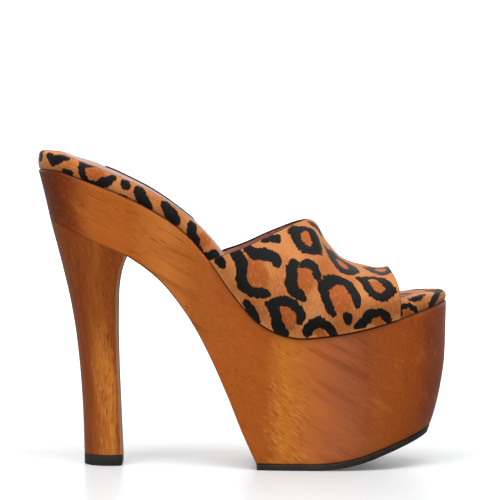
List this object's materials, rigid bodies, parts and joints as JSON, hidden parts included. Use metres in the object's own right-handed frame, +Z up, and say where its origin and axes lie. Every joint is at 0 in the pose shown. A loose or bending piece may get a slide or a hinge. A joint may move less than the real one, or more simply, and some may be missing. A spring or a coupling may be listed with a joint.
{
  "type": "platform sandal",
  "caption": "High wooden platform mule for the right foot, with a tall block heel, a padded footbed and a short open-toed vamp in leopard-print calf hair.",
  "frame": {"origin": "on the floor, under the middle of the shoe's bounding box", "axes": "+X towards the toe, +Y towards the inner side of the right foot, +Z up"},
  "size_m": [0.22, 0.0868, 0.169],
  "materials": {
    "wood": "satin lacquer",
    "rubber": "matte",
    "calf_hair": "short nap",
    "sock_leather": "smooth"
  },
  "bodies": {
    "root": {"wood_platform": "wood", "wood_heel": "wood", "heel_lift": "rubber", "outsole": "rubber", "footbed": "calf_hair", "sock_lining": "sock_leather", "upper": "calf_hair"}
  },
  "joints": []
}
